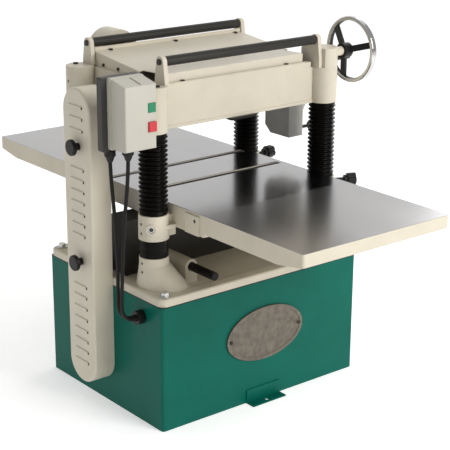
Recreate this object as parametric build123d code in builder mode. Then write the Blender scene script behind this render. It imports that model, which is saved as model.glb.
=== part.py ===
"""Four-post thickness planer, 508 mm wide, built as separate pieces.

Millimetres. X runs across the feed (+X is the operator's right), Y is the feed
direction (the operator stands at -Y) and Z is up. The origin is on the floor,
under the middle of the cabinet.
"""

import os
from math import cos, pi, radians, sin, tan

from build123d import *

os.makedirs("parts", exist_ok=True)

# ---- driving sizes --------------------------------------------------------
cabinet_width = 700.0
cabinet_depth = 545.0
cabinet_height = 357.0
sheet = 3.0
thin_sheet = 2.0
top_flange = 35.0
left_face = -cabinet_width / 2

base_rim_height = 22.0
base_rim_width = 32.0
base_floor = 12.0
base_collar_top = 466.0

column_x = 298.0
column_y = 168.0
column_radius = 30.0
column_bore = 22.0
column_top = 900.0
collar_radius = 40.0
bellows_radius = 39.0

table_width = 508.0
table_length = 650.0
table_top = 606.0
table_plate = 16.0
table_skirt = 60.0
table_wall = 14.0
table_collar_top = 583.0
table_collar_bottom = 515.0
table_travel = 190.0
wing_length = 380.0
wing_plate = 14.0
wing_wall = 12.0
wing_skirt = 50.0
wing_end_skirt = 35.0
wing_taper = 90.0

bed_roller_radius = 11.0
bed_roller_y = (-53.0, 113.0)
bed_roller_proud = 0.1
bed_slot_half = 238.0

head_bottom = 803.0
head_top = 920.0
head_collar_top = 905.0
cap_height = 19.0
wall_inner = 256.0
wall_outer = 272.0
beam_thickness = 16.0

cut_plane = 802.0
drive_y = 18.0
cutter_body_radius = 38.5
cutting_radius = 40.0
cutter_journal = 15.0
cutter_length = 510.0
insert_rows = 4
inserts_per_row = 12

feed_roller_radius = 25.0
feed_roller_length = 508.0
feed_journal = 10.0
infeed_y = -55.0
outfeed_y = 104.0
feed_drop = 1.0

motor_z = 129.0
motor_radius = 95.0
motor_shaft_radius = 14.0
motor_pulley_radius = 55.0
cutter_pulley_radius = 38.0
belt_depth = 8.0
belt_width = 10.0
belt_pitch = 12.0

guard_inner = -left_face
guard_depth = 64.0
guard_radius = 64.0
guard_sheet = 2.5

wheel_y = -193.0
wheel_z = 945.0
wheel_plane = 372.0
wheel_radius = 94.0

roller_z = 982.0
return_roller_radius = 13.0
bracket_inner = 261.0
bracket_thickness = 13.0

hood_half = 259.0
hood_front_y = -58.0
hood_rear_y = 158.0
hood_front_z = 938.0
hood_rear_z = 960.0
port_x = -157.0
port_radius = 63.5
port_z = 941.0
port_start_y = 186.0
port_length = 64.0

box_left = left_face - 90.0
box_right = left_face + 5.0
box_front = -251.0
box_back = -178.0
box_bottom = 785.0
box_top = 950.0
button_travel = 3.0

lead_radius = 5.0

screw_radius = 11.0
sprocket_radius = 28.0
sprocket_z = 338.0
sprocket_thickness = 7.0

# ---- clearances -----------------------------------------------------------
running = 0.08
seat = 0.05
slide_gap = 0.3
chain_gap = 0.3

# ---- derived places -------------------------------------------------------
base_top = cabinet_height + base_rim_height
base_seat = cabinet_height + base_floor
half_width = cabinet_width / 2
half_depth = cabinet_depth / 2
half_table = table_width / 2
half_length = table_length / 2
cutter_z = cut_plane + cutting_radius
feed_z = cut_plane - feed_drop + feed_roller_radius
corners = [(sx * column_x, sy * column_y) for sx in (-1, 1) for sy in (-1, 1)]


# ---- small helpers --------------------------------------------------------
def block(x, y, z, mode=Mode.ADD):
    """A box given by its low and high value along each axis."""
    with Locations(((x[0] + x[1]) / 2, (y[0] + y[1]) / 2, (z[0] + z[1]) / 2)):
        Box(x[1] - x[0], y[1] - y[0], z[1] - z[0], mode=mode)


def along(direction, start, radius, length, mode=Mode.ADD, top_radius=None):
    """A round bar, or a cone, that leaves the point start along direction."""
    base = (Align.CENTER, Align.CENTER, Align.MIN)
    with Locations(Plane(origin=start, z_dir=direction)):
        if top_radius is None:
            Cylinder(radius, length, align=base, mode=mode)
        else:
            Cone(radius, top_radius, length, align=base, mode=mode)


def bar_x(x, y, z, radius, mode=Mode.ADD):
    """A round bar along X between two values."""
    along((1, 0, 0), (x[0], y, z), radius, x[1] - x[0], mode)


def bar_y(x, y, z, radius, mode=Mode.ADD):
    """A round bar along Y between two values."""
    along((0, 1, 0), (x, y[0], z), radius, y[1] - y[0], mode)


def bar_z(x, y, z, radius, mode=Mode.ADD):
    """A round bar along Z between two values."""
    along((0, 0, 1), (x, y, z[0]), radius, z[1] - z[0], mode)


def side_plane(x):
    """A plane whose local axes are Y and Z."""
    return Plane(origin=(x, 0, 0), x_dir=(0, 1, 0), z_dir=(1, 0, 0))


def front_plane(y):
    """A plane whose local axes are X and Z and which faces the operator."""
    return Plane(origin=(0, y, 0), x_dir=(1, 0, 0), z_dir=(0, -1, 0))


def side_profile(points, x, mode=Mode.ADD):
    """A profile in Y and Z, extruded along X between two values."""
    with BuildSketch(side_plane(x[0])) as outline:
        Polygon(*points, align=None)
    extrude(outline.sketch, x[1] - x[0], mode=mode)


def side_hull(circles, x, mode=Mode.ADD):
    """The hull of circles (y, z, radius), extruded along X between two values."""
    with BuildSketch(side_plane(x[0])) as outline:
        for y, z, radius in circles:
            with Locations((y, z)):
                Circle(radius)
        make_hull()
    extrude(outline.sketch, x[1] - x[0], mode=mode)


def save(part, name):
    """Label a finished piece and write it."""
    part.label = name
    export_step(part, f"parts/{name}.step")


# ---- cabinet --------------------------------------------------------------
anchor_half = 60.0
anchor_height = 40.0
anchor_depth = 34.0
anchor_sheet = 4.0
anchor_hole = 6.5
anchor_hole_out = 20.0
panel_half = 235.0
panel_low = 46.0
panel_high = 315.0
panel_lap = 15.0
motor_window = 32.0
gland_y = -183.0
gland_z = 308.0
gland_hole = 12.0
bolt_pad_x = 324.0
bolt_pad_y = 250.0
bolt_radius = 8.0

with BuildPart() as cabinet:
    block((-half_width, half_width), (-half_depth, half_depth), (0, cabinet_height))
    fillet(cabinet.edges().filter_by(Axis.Z), 8)
    block(
        (-half_width + sheet, half_width - sheet),
        (-half_depth + sheet, half_depth - sheet),
        (sheet, cabinet_height - sheet),
        Mode.SUBTRACT,
    )
    block(
        (-half_width + top_flange, half_width - top_flange),
        (-half_depth + top_flange, half_depth - top_flange),
        (cabinet_height - 2 * sheet, cabinet_height),
        Mode.SUBTRACT,
    )
    block(
        (-panel_half + panel_lap, panel_half - panel_lap),
        (half_depth - 2 * sheet, half_depth + sheet),
        (panel_low + panel_lap, panel_high - panel_lap),
        Mode.SUBTRACT,
    )
    bar_x((-half_width - 1, -half_width + 2 * sheet), drive_y, motor_z, motor_window, Mode.SUBTRACT)
    bar_x((-half_width - 1, -half_width + 2 * sheet), gland_y, gland_z, gland_hole, Mode.SUBTRACT)
    for sx in (-1, 1):
        for sy in (-1, 1):
            hole = (sx * bolt_pad_x, sy * bolt_pad_y)
            bar_z(*hole, (cabinet_height - 9, cabinet_height + 1), bolt_radius + slide_gap, Mode.SUBTRACT)
    for side in (-1, 1):
        wall = side * half_depth
        lip = side * (half_depth + anchor_depth)
        face = side * (half_depth + anchor_sheet)
        block((-anchor_half, anchor_half), sorted((wall, face)), (0, anchor_height))
        block((-anchor_half, anchor_half), sorted((wall, lip)), (0, anchor_sheet))
        hole_y = side * (half_depth + anchor_hole_out)
        bar_z(0, hole_y, (-1, anchor_sheet + 1), anchor_hole, Mode.SUBTRACT)
save(cabinet.part, "cabinet")

louvre_slots = 7
louvre_pitch = 22.0
with BuildPart() as access_panel:
    block((-panel_half, panel_half), (half_depth, half_depth + thin_sheet), (panel_low, panel_high))
    fillet(access_panel.edges().filter_by(Axis.Y), 10)
    middle = (panel_low + panel_high) / 2
    for column in (-1, 1):
        for row in range(louvre_slots):
            z = middle + (row - (louvre_slots - 1) / 2) * louvre_pitch
            x = column * panel_half / 2
            y = (half_depth - 1, half_depth + thin_sheet + 1)
            block((x - 45, x + 45), y, (z - 3, z + 3), Mode.SUBTRACT)
save(access_panel.part, "access_panel")

plate_x = 4.0
plate_z = 201.0
plate_long = 137.0
plate_short = 78.0
plate_thickness = 6.0
with BuildPart() as nameplate:
    with BuildSketch(front_plane(-half_depth)):
        with Locations((plate_x, plate_z)):
            Ellipse(plate_long, plate_short)
    extrude(amount=plate_thickness)
    with BuildSketch(front_plane(-half_depth - plate_thickness)):
        with Locations((plate_x, plate_z)):
            Ellipse(plate_long - 9, plate_short - 9)
    extrude(amount=-2, mode=Mode.SUBTRACT)
    for side in (-1, 1):
        x = plate_x + side * (plate_long - 13)
        y = (-half_depth - plate_thickness, -half_depth)
        bar_y(x, y, plate_z, 8)
        bar_y(x, (y[0] - 1, y[1]), plate_z, 3.2, Mode.SUBTRACT)
save(nameplate.part, "nameplate")

# ---- base casting, columns and lifting bars ------------------------------
foot_x = 70.0
foot_y = 82.0
foot_top = cabinet_height + 88
bolt_pad_radius = 21.0
bar_radius = 12.0
bar_boss_x = 188.0
bar_z_height = 415.0
bar_front = -292.0
bar_back = -152.0
boss_front = -188.0
boss_back = -60.0
boss_half = 20.0

with BuildPart() as base_casting:
    block((-half_width, half_width), (-half_depth, half_depth), (cabinet_height, base_top))
    fillet(base_casting.edges().filter_by(Axis.Z), 20)
    fillet(base_casting.faces().sort_by(Axis.Z)[-1].edges(), 5)
    block(
        (-half_width + base_rim_width, half_width - base_rim_width),
        (-half_depth + base_rim_width, half_depth - base_rim_width),
        (base_seat, base_top + 1),
        Mode.SUBTRACT,
    )
    for sx in (-1, 1):
        for sy in (-1, 1):
            bar_z(sx * bolt_pad_x, sy * bolt_pad_y, (cabinet_height, base_top), bolt_pad_radius)
    for x, y in corners:
        inward = -1 if x > 0 else 1
        with BuildSketch(Plane.XY.offset(base_seat)) as foot:
            with Locations((x + inward * (foot_x - collar_radius), y)):
                Ellipse(foot_x, foot_y)
        with BuildSketch(Plane.XY.offset(foot_top)) as neck:
            with Locations((x, y)):
                Circle(collar_radius)
        loft(Sketch() + [foot.sketch, neck.sketch])
        bar_z(x, y, (foot_top, base_collar_top), collar_radius)
    for sx in (-1, 1):
        x = sx * bar_boss_x
        block((x - boss_half, x + boss_half), (boss_front, boss_back), (base_seat, bar_z_height))
        bar_y(x, (boss_front, boss_back), bar_z_height, boss_half)
        bar_y(x, (boss_front - 1, boss_back + 1), bar_z_height, bar_radius + running, Mode.SUBTRACT)
        for sy in (-1, 1):
            pad = (sx * bolt_pad_x, sy * bolt_pad_y)
            bar_z(*pad, (cabinet_height - 1, base_top + 1), bolt_radius + slide_gap, Mode.SUBTRACT)
            bar_z(*pad, (base_top, base_top + 40), bolt_pad_radius - 3, Mode.SUBTRACT)
    for x, y in corners:
        bar_z(x, y, (base_seat, base_collar_top + 1), column_radius + seat, Mode.SUBTRACT)
        bar_z(x, y, (cabinet_height - 1, base_seat + 1), screw_radius + running, Mode.SUBTRACT)
        for z in (426.0, 450.0):
            out = 1 if x > 0 else -1
            start = (x + out * (column_radius + 2), y, z)
            along((out, 0, 0), start, 4.1, collar_radius, Mode.SUBTRACT)
save(base_casting.part, "base_casting")

slot_half = 7.0
slot_low = 528.0
nut_low = 535.0
nut_high = 563.0
slot_high = nut_high + table_travel + 6
with BuildPart() as columns:
    for x, y in corners:
        bar_z(x, y, (base_seat, column_top), column_radius)
        bar_z(x, y, (base_seat - 1, column_top + 1), column_bore, Mode.SUBTRACT)
        inward = -1 if x > 0 else 1
        slot = sorted((x + inward * (column_bore - 3), x + inward * (column_radius + 1)))
        block(slot, (y - slot_half, y + slot_half), (slot_low, slot_high), Mode.SUBTRACT)
save(columns.part, "columns")

for side, name in ((-1, "left"), (1, "right")):
    with BuildPart() as lifting_bar:
        bar_y(side * bar_boss_x, (bar_front, bar_back), bar_z_height, bar_radius)
        chamfer(lifting_bar.edges().filter_by(GeomType.CIRCLE), 1.5)
    save(lifting_bar.part, f"lifting_bar_{name}")

shield_half = 300.0
shield_depth = 40.0
shield_top = 530.0
with BuildPart() as chip_shield:
    block((-shield_half, shield_half), (-shield_depth, shield_depth), (base_seat, shield_top))
    fillet(chip_shield.edges().filter_by(Axis.X).group_by(Axis.Z)[-1], 6)
    block(
        (-shield_half + thin_sheet, shield_half - thin_sheet),
        (-shield_depth + thin_sheet, shield_depth - thin_sheet),
        (base_seat - 1, shield_top - thin_sheet),
        Mode.SUBTRACT,
    )
save(chip_shield.part, "chip_shield")

# ---- leadscrews, sprockets and lift chain --------------------------------
teeth = 22
shoulder_radius = 17.0
shoulder_height = 8.0
gear_low = 937.0
gear_radius = 15.0
screw_bottom = 330.0
screw_top = 893.0
names = {(-1, -1): "front_left", (-1, 1): "rear_left", (1, -1): "front_right", (1, 1): "rear_right"}
for (sx, sy), name in names.items():
    x = sx * column_x
    y = sy * column_y
    driven = name == "front_right"
    with BuildPart() as leadscrew:
        bar_z(x, y, (screw_bottom, gear_low + 16 if driven else screw_top), screw_radius)
        bar_z(x, y, (sprocket_z, sprocket_z + sprocket_thickness), sprocket_radius)
        bar_z(x, y, (base_seat + slide_gap, base_seat + shoulder_height), shoulder_radius)
        with Locations((x, y, sprocket_z + sprocket_thickness / 2)):
            with PolarLocations(sprocket_radius + 0.5, teeth):
                Cylinder(2.8, sprocket_thickness + 2, mode=Mode.SUBTRACT)
        if driven:
            bar_z(x, y, (gear_low, gear_low + 16), gear_radius)
            with Locations((x, y, gear_low + 8)):
                with PolarLocations(gear_radius + 0.4, 18):
                    Cylinder(1.5, 20, mode=Mode.SUBTRACT)
    save(leadscrew.part, f"leadscrew_{name}")

chain_inner = sprocket_radius + chain_gap
chain_outer = chain_inner + 5
chain_z = (sprocket_z - 1, sprocket_z + sprocket_thickness + 1)
with BuildPart() as lift_chain:
    with BuildSketch(Plane.XY.offset(chain_z[0])) as loop:
        RectangleRounded(2 * (column_x + chain_outer), 2 * (column_y + chain_outer), chain_outer)
        RectangleRounded(
            2 * (column_x + chain_inner), 2 * (column_y + chain_inner), chain_inner, mode=Mode.SUBTRACT
        )
    extrude(amount=chain_z[1] - chain_z[0])
save(lift_chain.part, "lift_chain")

# ---- table, wings, bed rollers and locks ---------------------------------
table_bottom = table_top - table_skirt
table_under = table_top - table_plate
bed_roller_z = table_top + bed_roller_proud - bed_roller_radius
bed_journal = 5.0
bed_journal_end = 250.0
pad_z = 584.0
pad_y = 281.0
lock_z = 566.0
lock_angles = {"front": -28.0, "rear": 0.0}
wing_bolt_x = (-180.0, 0.0, 180.0)
wing_bolt_z = 574.0
wing_bolt_hole = 5.2
lock_stud = 6.0

with BuildPart() as table:
    block((-half_table, half_table), (-half_length, half_length), (table_bottom, table_top))
    block(
        (-half_table + table_wall, half_table - table_wall),
        (-half_length + table_wall, half_length - table_wall),
        (table_bottom - 1, table_under),
        Mode.SUBTRACT,
    )
    for x in (-120.0, 0.0, 120.0):
        block((x - 5, x + 5), (-half_length + 1, half_length - 1), (table_under - 30, table_under + 1))
    for y in (-column_y, 30.0, column_y):
        block((-half_table + 1, half_table - 1), (y - 7, y + 7), (table_bottom, table_under + 1))
    for x, y in corners:
        edge = half_table - 10 if x > 0 else -half_table + 10
        block(sorted((x, edge)), (y - 24, y + 24), (table_collar_bottom + 5, table_collar_top - 5))
        block(sorted((x, edge)), (y - 40, y + 40), (545, 555))
        bar_z(x, y, (table_collar_bottom, table_collar_top), collar_radius + 1)
        diagonal = (x / abs(x), y / abs(y), 0)
        along(diagonal, (x, y, (table_collar_bottom + table_collar_top) / 2), 14, collar_radius + 4)
    for sx in (-1, 1):
        for sy in (-1, 1):
            face = sorted((sx * half_table, sx * (half_table + 5)))
            block(face, sorted((sy * (pad_y - 29), sy * (pad_y + 29))), (table_bottom, 598))
    for x, y in corners:
        bore = column_radius + slide_gap
        bar_z(x, y, (table_collar_bottom - 1, table_collar_top + 1), bore, Mode.SUBTRACT)
        inward = -1 if x > 0 else 1
        arm = sorted((x + inward * (screw_radius + 3), x + inward * (column_radius + 3)))
        block(arm, (y - slot_half + 1, y + slot_half - 1), (nut_low, nut_high))
        bar_z(x, y, (nut_low, nut_high), column_bore - 3)
        bar_z(x, y, (nut_low - 1, nut_high + 1), screw_radius + running, Mode.SUBTRACT)
        diagonal = (x / abs(x), y / abs(y), 0)
        reach = collar_radius - 1
        middle = (
            x + diagonal[0] * reach / 2**0.5,
            y + diagonal[1] * reach / 2**0.5,
            (table_collar_bottom + table_collar_top) / 2,
        )
        along(diagonal, middle, 9, 20, Mode.SUBTRACT)
        if x < 0:
            for z in (534.0, 560.0):
                start = (x - column_radius - 3, y, z)
                along((-1, 0, 0), start, 4.1, collar_radius, Mode.SUBTRACT)
    for name, angle in lock_angles.items():
        y = -column_y if name == "front" else column_y
        way = (cos(radians(angle)), sin(radians(angle)), 0)
        along(way, (column_x + 25 * way[0], y + 25 * way[1], lock_z), lock_stud + running, 30, Mode.SUBTRACT)
    for y in bed_roller_y:
        slot = (y - bed_roller_radius - 0.75, y + bed_roller_radius + 0.75)
        block((-bed_slot_half, bed_slot_half), slot, (table_under - 10, table_top + 1), Mode.SUBTRACT)
        bar_x((-bed_journal_end - 1, bed_journal_end + 1), y, bed_roller_z, bed_journal + running, Mode.SUBTRACT)
    for x in wing_bolt_x:
        for side in (-1, 1):
            span = sorted((side * (half_length - table_wall - 1), side * (half_length + 1)))
            bar_y(x, span, wing_bolt_z, wing_bolt_hole, Mode.SUBTRACT)
    for sx in (-1, 1):
        for sy in (-1, 1):
            outer = sorted((sx * (half_table - 6), sx * (half_table + 6)))
            bar_x(outer, sy * (pad_y + 12), pad_z, 5.1, Mode.SUBTRACT)
save(table.part, "table")

for side, name in ((-1, "front_wing"), (1, "rear_wing")):
    inner = side * half_length
    outer = side * (half_length + wing_length)
    with BuildPart() as wing:
        outline = [
            (inner, table_top),
            (inner, table_top - wing_skirt),
            (outer - side * wing_taper, table_top - wing_skirt),
            (outer, table_top - wing_end_skirt),
            (outer, table_top),
        ]
        side_profile(outline, (-half_table, half_table))
        fillet(wing.edges().filter_by(Axis.Z).group_by(Axis.Y)[0 if side < 0 else -1], 8)
        pocket_y = sorted((inner + side * wing_wall, outer - side * wing_wall))
        pocket_z = (table_top - wing_skirt - 1, table_top - wing_plate)
        for x in ((-half_table + wing_wall, -5.0), (5.0, half_table - wing_wall)):
            block(x, pocket_y, pocket_z, Mode.SUBTRACT)
        block((-6, 6), pocket_y, (table_top - wing_skirt - 1, table_top - wing_end_skirt), Mode.SUBTRACT)
        for x in wing_bolt_x:
            span = sorted((inner - side, inner + side * (wing_wall + 1)))
            bar_y(x, span, wing_bolt_z, wing_bolt_hole, Mode.SUBTRACT)
        relief = sorted((inner + side * wing_wall, inner + side * (wing_wall + 18)))
        block((-12, 12), relief, pocket_z, Mode.SUBTRACT)
    save(wing.part, name)

with BuildPart() as table_bolts:
    for side in (-1, 1):
        for x in wing_bolt_x:
            head = side * (half_length + wing_wall)
            tip = side * (half_length - table_wall)
            bar_y(x, sorted((tip, head)), wing_bolt_z, wing_bolt_hole - 0.15)
            with BuildSketch(front_plane(max(head, head + side * 8))) as hexagon:
                with Locations((x, wing_bolt_z)):
                    RegularPolygon(9, 6)
            extrude(hexagon.sketch, 8)
    for sx in (-1, 1):
        for sy in (-1, 1):
            span = sorted((sx * (half_table - 6), sx * (half_table + 3)))
            bar_x(span, sy * (pad_y + 12), pad_z, 5)
    for x, y in corners:
        if x < 0:
            for z in (534.0, 560.0):
                along((-1, 0, 0), (x - column_radius - 3.2, y, z), 4, 6)
save(table_bolts.part, "table_bolts")

for y, name in zip(bed_roller_y, ("bed_roller_front", "bed_roller_rear")):
    with BuildPart() as bed_roller:
        bar_x((-bed_slot_half + 2, bed_slot_half - 2), y, bed_roller_z, bed_roller_radius)
        bar_x((-bed_journal_end, bed_journal_end), y, bed_roller_z, bed_journal)
    save(bed_roller.part, name)

for name, angle in lock_angles.items():
    y = -column_y if name == "front" else column_y
    way = (cos(radians(angle)), sin(radians(angle)), 0)
    with BuildPart() as lock_knob:
        along(way, (column_x + 31.5 * way[0], y + 31.5 * way[1], lock_z), lock_stud, 42)
        along(way, (column_x + 72 * way[0], y + 72 * way[1], lock_z), 13, 12)
        head = Plane(origin=(column_x + 82 * way[0], y + 82 * way[1], lock_z), z_dir=way)
        with BuildSketch(head) as lobes:
            Circle(19)
            with PolarLocations(22, 5):
                Circle(6, mode=Mode.SUBTRACT)
        extrude(lobes.sketch, 24)
    save(lock_knob.part, f"table_lock_knob_{name}")

for low, high, name in (
    (table_collar_top, head_bottom, "upper_bellows"),
    (base_collar_top, table_collar_bottom, "lower_bellows"),
):
    with BuildPart() as bellows:
        for x, y in corners:
            bar_z(x, y, (low + slide_gap, high - slide_gap), bellows_radius)
            bar_z(x, y, (low, high), column_radius + slide_gap, Mode.SUBTRACT)
    save(bellows.part, name)

# ---- head casting, bearings and lift gear housing ------------------------
lip_height = 8.0
lip_proud = 2.5
cutter_bearing = 31.0
feed_bearing = 16.0
finger_y = -130.0
finger_z = 868.0
finger_rod = 7.0
beam_outer = column_y
housing_top = 958.0
housing_flat = 274.5

cap_corners = [corner for corner in corners if corner != (column_x, -column_y)]
with BuildPart() as head_casting:
    for side in (-1, 1):
        beam = sorted((side * (beam_outer - beam_thickness), side * beam_outer))
        block((-wall_outer, wall_outer), beam, (head_bottom, head_top))
        lip = sorted((side * beam_outer, side * (beam_outer + lip_proud)))
        block((-column_x, column_x), lip, (head_bottom, head_bottom + lip_height))
        wall = sorted((side * wall_inner, side * wall_outer))
        block(wall, (-beam_outer, beam_outer), (head_bottom, head_top))
    for x, y in corners:
        bar_z(x, y, (head_bottom, head_collar_top), collar_radius)
        if (x, y) == (column_x, -column_y):
            block((250, 400), (y - 60, -100), (head_collar_top, head_top + 1), Mode.SUBTRACT)
        else:
            bar_z(x, y, (head_collar_top, head_top + 1), collar_radius, Mode.SUBTRACT)
    for x, y in corners:
        bar_z(x, y, (head_bottom - 1, column_top), column_radius + seat, Mode.SUBTRACT)
        bar_z(x, y, (column_top - 1, head_top), screw_radius + 3, Mode.SUBTRACT)
        out = x / abs(x)
        for z in (830.0, 884.0):
            start = (x + out * (column_radius + 2), y, z)
            along((out, 0, 0), start, 4.1, collar_radius, Mode.SUBTRACT)
    through = (-wall_outer - 1, wall_outer + 1)
    bar_x(through, drive_y, cutter_z, cutter_bearing, Mode.SUBTRACT)
    for y in (infeed_y, outfeed_y):
        bar_x(through, y, feed_z, feed_bearing, Mode.SUBTRACT)
    rod_hole = (-wall_inner - 9, wall_inner + 9)
    bar_x(rod_hole, finger_y, finger_z, finger_rod + running, Mode.SUBTRACT)
    for x, y in cap_corners:
        bar_z(x, y, (head_collar_top, head_collar_top + cap_height), collar_radius - 0.4)
    for x, y in cap_corners:
        bar_z(x, y, (head_collar_top - 1, head_collar_top + 8), 14, Mode.SUBTRACT)
        bar_z(x, y + 22 * y / abs(y), (head_collar_top + 10, 940), 5.5, Mode.SUBTRACT)
save(head_casting.part, "head_casting")

bearing_inner = cutter_journal + running
spacer_radius = 28.0
with BuildPart() as bearing_blocks:
    for side in (-1, 1):
        wall = sorted((side * wall_inner, side * wall_outer))
        bar_x(wall, drive_y, cutter_z, cutter_bearing - seat)
        bar_x(wall, drive_y, cutter_z, bearing_inner, Mode.SUBTRACT)
        for y in (infeed_y, outfeed_y):
            bar_x(wall, y, feed_z, feed_bearing - seat)
            bar_x(wall, y, feed_z, feed_journal + running, Mode.SUBTRACT)
    bar_x((-guard_inner, -wall_outer), drive_y, cutter_z, spacer_radius)
    bar_x((-wall_outer - 10, -wall_outer), drive_y, cutter_z, spacer_radius + 14)
    bar_x((-guard_inner - 1, -wall_outer), drive_y, cutter_z, spacer_radius - 8, Mode.SUBTRACT)
save(bearing_blocks.part, "bearing_blocks")

shaft_radius = 10.0
with BuildPart() as lift_gear_housing:
    bar_z(column_x, -column_y, (head_collar_top, housing_top), collar_radius)
    fillet(lift_gear_housing.edges().filter_by(GeomType.CIRCLE).group_by(Axis.Z)[-1], 3)
    bar_x((300, 341), wheel_y, wheel_z, 13)
    bar_z(column_x, -column_y, (head_collar_top - 1, housing_top - 5), collar_radius - 3, Mode.SUBTRACT)
    block((230, housing_flat), (-220, -110), (head_collar_top - 1, housing_top + 2), Mode.SUBTRACT)
    bar_x((290, 342), wheel_y, wheel_z, shaft_radius + running, Mode.SUBTRACT)
    block((housing_flat, housing_flat + 2), (-200, -136), (head_collar_top, housing_top - 5))
save(lift_gear_housing.part, "lift_gear_housing")

# ---- cutterhead and its drive --------------------------------------------
insert_size = 14.0
insert_thickness = 3.0
insert_step = 42.0
insert_flat = (cutting_radius**2 - (insert_size / 2) ** 2) ** 0.5
pocket_floor = insert_flat - insert_thickness
pulley_right = -guard_inner - 16.0
pulley_width = 3 * belt_pitch + 2
pulley_left = pulley_right - pulley_width


def insert_places():
    """Each insert's frame: its Z axis points out of the cutterhead."""
    for row in range(insert_rows):
        for index in range(inserts_per_row):
            angle = radians(360 / insert_rows * row + 14 * index)
            x = (index - (inserts_per_row - 1) / 2) * insert_step + (row - 1.5) * 10
            out = (0, cos(angle), sin(angle))
            yield Plane(origin=(x, drive_y, cutter_z), x_dir=(1, 0, 0), z_dir=out)


above = (Align.CENTER, Align.CENTER, Align.MIN)
with BuildPart() as cutterhead:
    bar_x((-cutter_length / 2, cutter_length / 2), drive_y, cutter_z, cutter_body_radius)
    bar_x((pulley_left - 1, wall_outer), drive_y, cutter_z, cutter_journal)
    with Locations(*[place.offset(pocket_floor) for place in insert_places()]):
        Box(insert_size + 2, insert_size + 4, 8, align=above, mode=Mode.SUBTRACT)
save(cutterhead.part, "cutterhead")

with BuildPart() as cutterhead_inserts:
    with Locations(*[place.offset(pocket_floor) for place in insert_places()]):
        Box(insert_size, insert_size, insert_thickness, align=above)
        Cylinder(2.2, insert_thickness + 1, align=above, mode=Mode.SUBTRACT)
save(cutterhead_inserts.part, "cutterhead_inserts")


def grooves(y, z, radius):
    """Three belt grooves cut round a pulley on the belt drive's line."""
    for index in range(3):
        left = pulley_left + 1.5 + index * belt_pitch
        span = (left, left + belt_width + 1)
        bar_x(span, y, z, radius + 1, Mode.SUBTRACT)
        bar_x((span[0] - 0.5, span[1] + 0.5), y, z, radius - belt_depth - 1)


with BuildPart() as cutterhead_pulley:
    bar_x((pulley_left, pulley_right), drive_y, cutter_z, cutter_pulley_radius)
    grooves(drive_y, cutter_z, cutter_pulley_radius)
    bar_x((pulley_left - 1, pulley_right + 1), drive_y, cutter_z, cutter_journal + 0.03, Mode.SUBTRACT)
save(cutterhead_pulley.part, "cutterhead_pulley")

with BuildPart() as v_belts:
    for index in range(3):
        left = pulley_left + 2 + index * belt_pitch
        span = (left, left + belt_width)
        ends = ((cutter_z, cutter_pulley_radius), (motor_z, motor_pulley_radius))
        side_hull([(drive_y, z, radius) for z, radius in ends], span)
        inner = [(drive_y, z, radius - belt_depth) for z, radius in ends]
        side_hull(inner, (span[0], span[1]), Mode.SUBTRACT)
save(v_belts.part, "v_belts")

motor_right = -20.0
motor_left = -300.0
motor_wall = 12.0
with BuildPart() as motor_housing:
    bar_x((motor_left, motor_right), drive_y, motor_z, motor_radius)
    chamfer(motor_housing.edges().filter_by(GeomType.CIRCLE), 8)
    bar_x((motor_left + 12, motor_right - 12), drive_y, motor_z, motor_radius - motor_wall, Mode.SUBTRACT)
    for side in (-1, 1):
        foot = sorted((drive_y + side * 50, drive_y + side * 90))
        block((motor_left + 60, motor_right - 60), foot, (sheet, motor_z - 60))
    block((motor_left + 60, motor_right - 60), (drive_y - 90, drive_y + 90), (sheet, sheet + 12))
    bar_x((motor_left + 12, motor_right - 12), drive_y, motor_z, motor_radius - motor_wall, Mode.SUBTRACT)
    shaft_span = (motor_left - 1, motor_right + 1)
    bar_x(shaft_span, drive_y, motor_z, motor_shaft_radius + running, Mode.SUBTRACT)
save(motor_housing.part, "motor_housing")

with BuildPart() as motor_rotor:
    bar_x((pulley_left, motor_right - 3), drive_y, motor_z, motor_shaft_radius)
    bar_x((motor_left + 40, motor_right - 40), drive_y, motor_z, 62)
    bar_x((pulley_left, pulley_right), drive_y, motor_z, motor_pulley_radius)
    grooves(drive_y, motor_z, motor_pulley_radius)
save(motor_rotor.part, "motor_rotor")

# ---- belt guard -----------------------------------------------------------
guard_y = 16.0
guard_low = 65.0 + guard_radius
guard_high = 902.0 - guard_radius
guard_outer = -guard_inner - guard_depth
knob_y = 7.0
knob_z = {"upper": 746.0, "lower": 424.0}
stud_radius = 4.0
vents = [128, 160, 191, 222, 255, 288, 321, 352, 498, 528, 558, 590, 621, 652, 683, 790, 822, 853]

with BuildPart() as belt_guard_back:
    back = (-guard_inner - thin_sheet, -guard_inner)
    radius = guard_radius - guard_sheet - slide_gap
    side_hull([(guard_y, guard_low, radius), (guard_y, guard_high, radius)], back)
    bar_x((back[0] - 1, 1 - guard_inner), drive_y, cutter_z, cutter_journal + 5, Mode.SUBTRACT)
    bar_x((back[0] - 1, 1 - guard_inner), drive_y, motor_z, motor_shaft_radius + 8, Mode.SUBTRACT)
    for z in knob_z.values():
        bar_x((guard_outer + guard_sheet + slide_gap, back[1]), knob_y, z, 8)
        bar_x((guard_outer, -guard_inner - 20), knob_y, z, stud_radius + running, Mode.SUBTRACT)
save(belt_guard_back.part, "belt_guard_back")

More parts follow.
